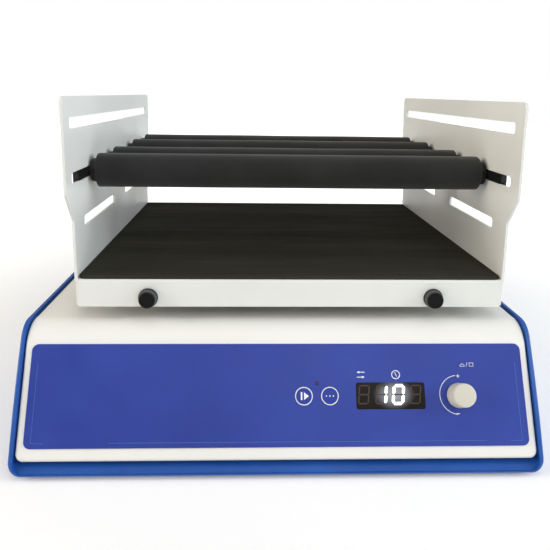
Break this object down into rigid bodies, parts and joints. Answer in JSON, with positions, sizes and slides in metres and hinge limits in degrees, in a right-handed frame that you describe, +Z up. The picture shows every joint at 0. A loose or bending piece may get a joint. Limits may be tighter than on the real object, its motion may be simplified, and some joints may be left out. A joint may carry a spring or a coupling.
{
  "type": "linear reciprocating platform shaker",
  "caption": "Bench shaker whose flat matted platform slides to and fro over a low sloped console, with adjustable soft clamp rollers held in slotted side plates.",
  "frame": {"origin": "on the bench, under the middle of the base housing", "axes": "+Z up, front console towards -Y, right towards +X; the platform is at the right-hand end of its stroke"},
  "size_m": [0.392, 0.42, 0.2716],
  "materials": {
    "housing_blue": "satin",
    "cover_white": "satin",
    "panel_film": "satin film",
    "display_dark": "gloss",
    "board_green": "satin",
    "lamp_red": "gloss",
    "button_blue": "satin",
    "knob_white": "satin",
    "sheet_white": "satin powder coat",
    "mat_black": "matte ribbed",
    "foam_black": "matte foam",
    "plastic_black": "satin",
    "feet_rubber": "matte",
    "bright_steel": "satin",
    "ground_steel": "ground",
    "zinc_steel": "zinc plated",
    "machined_aluminium": "machined",
    "painted_black": "satin",
    "belt_rubber": "matte"
  },
  "bodies": {
    "housing": {"base_tray": "housing_blue", "top_shell": "cover_white", "control_panel": "panel_film", "display_window": "display_dark", "display_module": "plastic_black", "control_board": "board_green", "rotary_encoder": "zinc_steel", "status_led": "lamp_red", "rubber_feet": "feet_rubber", "foot_screws": "zinc_steel", "closing_screws": "zinc_steel", "chassis_plate": "zinc_steel", "guide_rods": "ground_steel", "rod_supports": "machined_aluminium", "motor": "painted_black", "motor_bracket": "machined_aluminium", "crank_housing": "machined_aluminium", "crank_bearings": "bright_steel", "drive_belt": "belt_rubber", "power_supply": "zinc_steel", "power_inlet": "plastic_black", "inlet_screws": "zinc_steel"},
    "carriage": {"linear_bearings": "machined_aluminium", "carriage_plate": "machined_aluminium", "carriage_posts": "bright_steel", "carriage_pan": "sheet_white", "yoke": "bright_steel", "platform_tray": "sheet_white", "grip_mat": "mat_black"},
    "crank": {"crankshaft": "bright_steel", "driven_pulley": "machined_aluminium", "follower_bearing": "bright_steel"},
    "motor_rotor": {"motor_pulley": "machined_aluminium"},
    "roller_1_clamp": {"roller_1_spindle": "bright_steel", "roller_1_sliders": "plastic_black"},
    "roller_1_roll": {"roller_1_sleeve": "foam_black", "roller_1_hubs": "plastic_black"},
    "roller_2_clamp": {"roller_2_spindle": "bright_steel", "roller_2_sliders": "plastic_black"},
    "roller_2_roll": {"roller_2_sleeve": "foam_black", "roller_2_hubs": "plastic_black"},
    "roller_3_clamp": {"roller_3_spindle": "bright_steel", "roller_3_sliders": "plastic_black"},
    "roller_3_roll": {"roller_3_sleeve": "foam_black", "roller_3_hubs": "plastic_black"},
    "roller_4_clamp": {"roller_4_spindle": "bright_steel", "roller_4_sliders": "plastic_black"},
    "roller_4_roll": {"roller_4_sleeve": "foam_black", "roller_4_hubs": "plastic_black"},
    "front_left_screw": {"front_left_thumbscrew": "plastic_black"},
    "front_right_screw": {"front_right_thumbscrew": "plastic_black"},
    "rear_left_screw": {"rear_left_thumbscrew": "plastic_black"},
    "rear_right_screw": {"rear_right_thumbscrew": "plastic_black"},
    "encoder_push": {"encoder_stem": "bright_steel"},
    "knob": {"control_knob": "knob_white"},
    "start_key": {"start_button": "button_blue"},
    "mode_key": {"mode_button": "button_blue"}
  },
  "joints": [
    {"name": "platform_slide", "type": "slide", "parent": "housing", "child": "carriage", "axis": [1, 0, 0], "range_m": [-0.02, 0]},
    {"name": "crank_turn", "type": "hinge", "parent": "housing", "child": "crank", "pos_m": [0, 0.016, 0.05], "axis": [0, 0, 1], "range_deg": [-180, 0]},
    {"name": "motor_turn", "type": "hinge", "parent": "housing", "child": "motor_rotor", "pos_m": [-0.096, 0.016, 0.04], "axis": [0, 0, 1], "range_deg": [-540, 0]},
    {"name": "roller_1_slide", "type": "slide", "parent": "carriage", "child": "roller_1_clamp", "axis": [0, 1, 0], "range_m": [-0.016, 0.0075]},
    {"name": "roller_1_spin", "type": "hinge", "parent": "roller_1_clamp", "child": "roller_1_roll", "pos_m": [0.01, -0.0952, 0.2111], "axis": [1, 0, 0], "continuous": true},
    {"name": "roller_2_slide", "type": "slide", "parent": "carriage", "child": "roller_2_clamp", "axis": [0, 1, 0], "range_m": [-0.0075, 0.0235]},
    {"name": "roller_2_spin", "type": "hinge", "parent": "roller_2_clamp", "child": "roller_2_roll", "pos_m": [0.01, -0.0318, 0.2111], "axis": [1, 0, 0], "continuous": true},
    {"name": "roller_3_slide", "type": "slide", "parent": "carriage", "child": "roller_3_clamp", "axis": [0, 1, 0], "range_m": [-0.0235, 0.0152]},
    {"name": "roller_3_spin", "type": "hinge", "parent": "roller_3_clamp", "child": "roller_3_roll", "pos_m": [0.01, 0.0636, 0.2111], "axis": [1, 0, 0], "continuous": true},
    {"name": "roller_4_slide", "type": "slide", "parent": "carriage", "child": "roller_4_clamp", "axis": [0, 1, 0], "range_m": [-0.0152, 0.031]},
    {"name": "roller_4_spin", "type": "hinge", "parent": "roller_4_clamp", "child": "roller_4_roll", "pos_m": [0.01, 0.1423, 0.2111], "axis": [1, 0, 0], "continuous": true},
    {"name": "front_left_screw_turn", "type": "hinge", "parent": "carriage", "child": "front_left_screw", "pos_m": [-0.1017, -0.1515, 0.1186], "axis": [0, 1, 0], "continuous": true},
    {"name": "front_right_screw_turn", "type": "hinge", "parent": "carriage", "child": "front_right_screw", "pos_m": [0.1217, -0.1515, 0.1186], "axis": [0, 1, 0], "continuous": true},
    {"name": "rear_left_screw_turn", "type": "hinge", "parent": "carriage", "child": "rear_left_screw", "pos_m": [-0.1017, 0.1835, 0.1186], "axis": [0, 1, 0], "continuous": true},
    {"name": "rear_right_screw_turn", "type": "hinge", "parent": "carriage", "child": "rear_right_screw", "pos_m": [0.1217, 0.1835, 0.1186], "axis": [0, 1, 0], "continuous": true},
    {"name": "knob_press", "type": "slide", "parent": "housing", "child": "encoder_push", "axis": [0, 0.8926, -0.4509], "range_m": [0, 0.0006], "stiffness_N_per_m": 900, "springref_m": -0.0015},
    {"name": "knob_turn", "type": "hinge", "parent": "encoder_push", "child": "knob", "pos_m": [0.1354, -0.19212, 0.05615], "axis": [0, -0.8926, 0.4509], "continuous": true},
    {"name": "start_press", "type": "slide", "parent": "housing", "child": "start_key", "axis": [0, 0.8926, -0.4509], "range_m": [0, 0.0004], "stiffness_N_per_m": 600, "springref_m": -0.001},
    {"name": "mode_press", "type": "slide", "parent": "housing", "child": "mode_key", "axis": [0, 0.8926, -0.4509], "range_m": [0, 0.0004], "stiffness_N_per_m": 600, "springref_m": -0.001}
  ],
  "couplings": [
    {"joint": "crank_turn", "follows": "platform_slide", "rad_per_m": 157.08},
    {"joint": "motor_turn", "follows": "platform_slide", "rad_per_m": 471.24}
  ]
}
